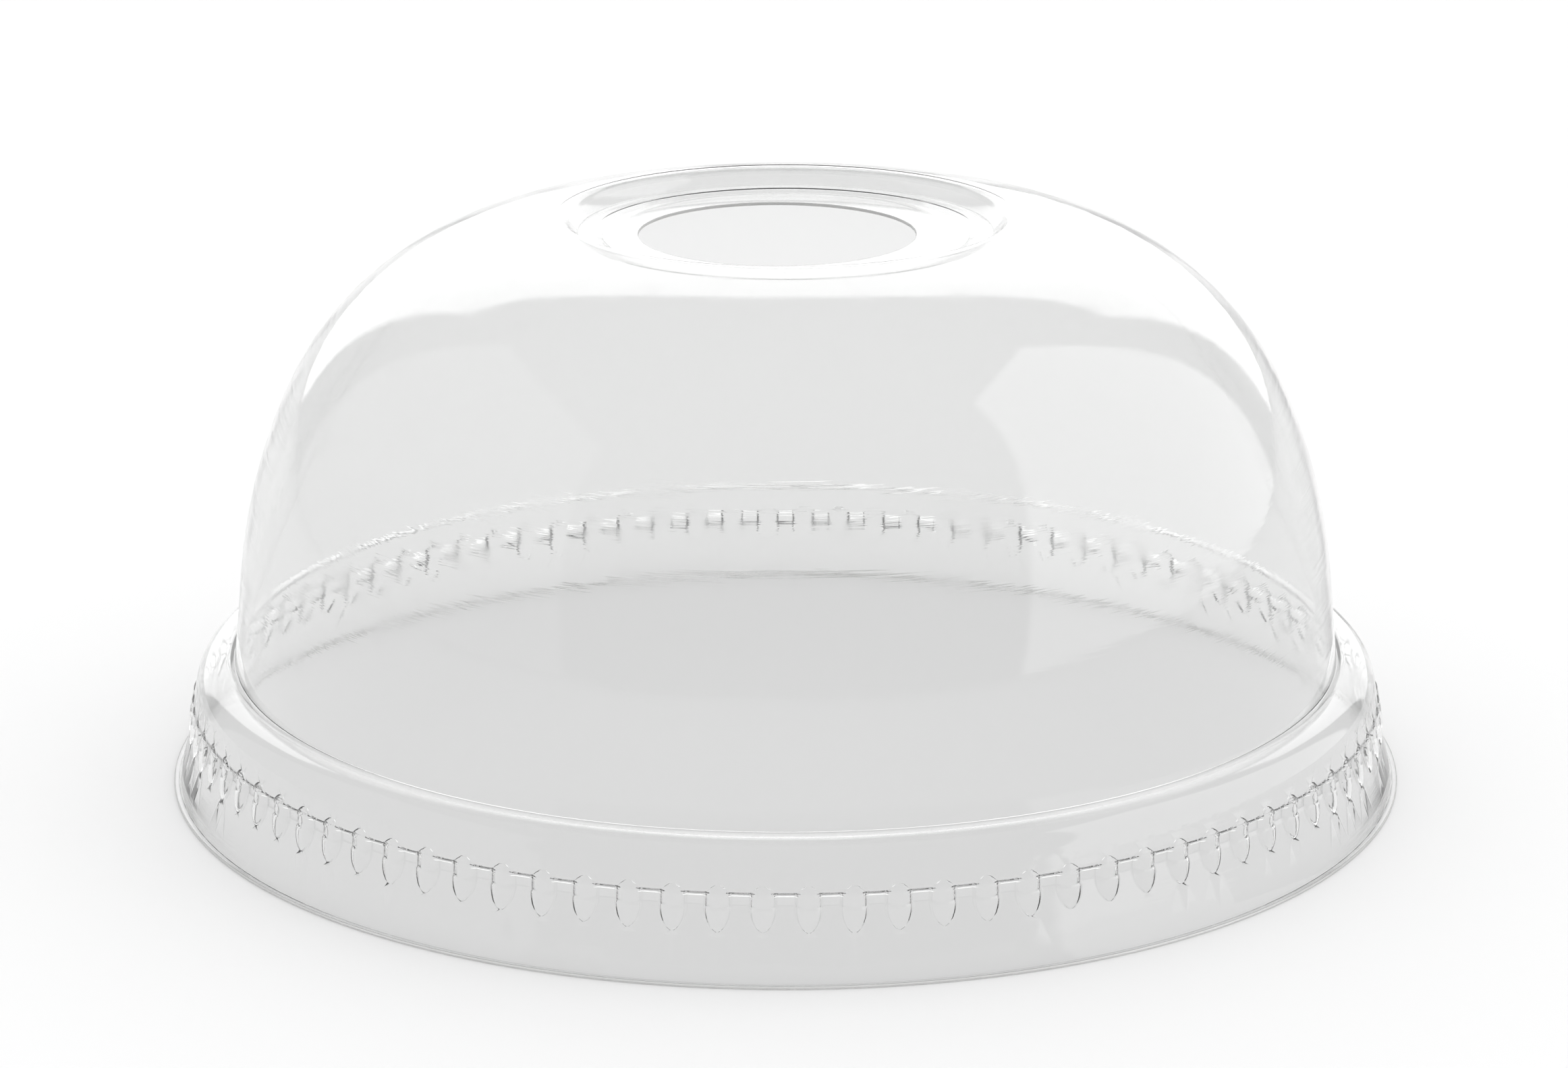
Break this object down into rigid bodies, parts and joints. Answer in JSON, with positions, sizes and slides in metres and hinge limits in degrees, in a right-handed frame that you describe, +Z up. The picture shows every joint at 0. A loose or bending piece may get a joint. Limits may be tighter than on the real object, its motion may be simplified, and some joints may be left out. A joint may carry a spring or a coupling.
{
  "type": "dome lid",
  "caption": "Clear one-piece dome lid with a round straw hole, a stepped crown and a hollow snap rim with a ring of small lugs, for a cold-drink cup.",
  "frame": {"origin": "centre of the lip's underside, where the lid stands on a surface", "axes": "+Z up along the dome's axis, out through the straw hole; the hole is punched 0.7 mm towards -X"},
  "size_m": [0.103, 0.103, 0.0471],
  "materials": {
    "clear_pet": "clear gloss"
  },
  "bodies": {
    "root": {"straw_hole_panel": "clear_pet", "stepped_ring": "clear_pet", "dome_crown": "clear_pet", "dome_wall": "clear_pet", "rim_bead": "clear_pet", "snap_ring": "clear_pet", "snap_lugs": "clear_pet", "flared_skirt": "clear_pet", "rim_lip": "clear_pet"}
  },
  "joints": []
}
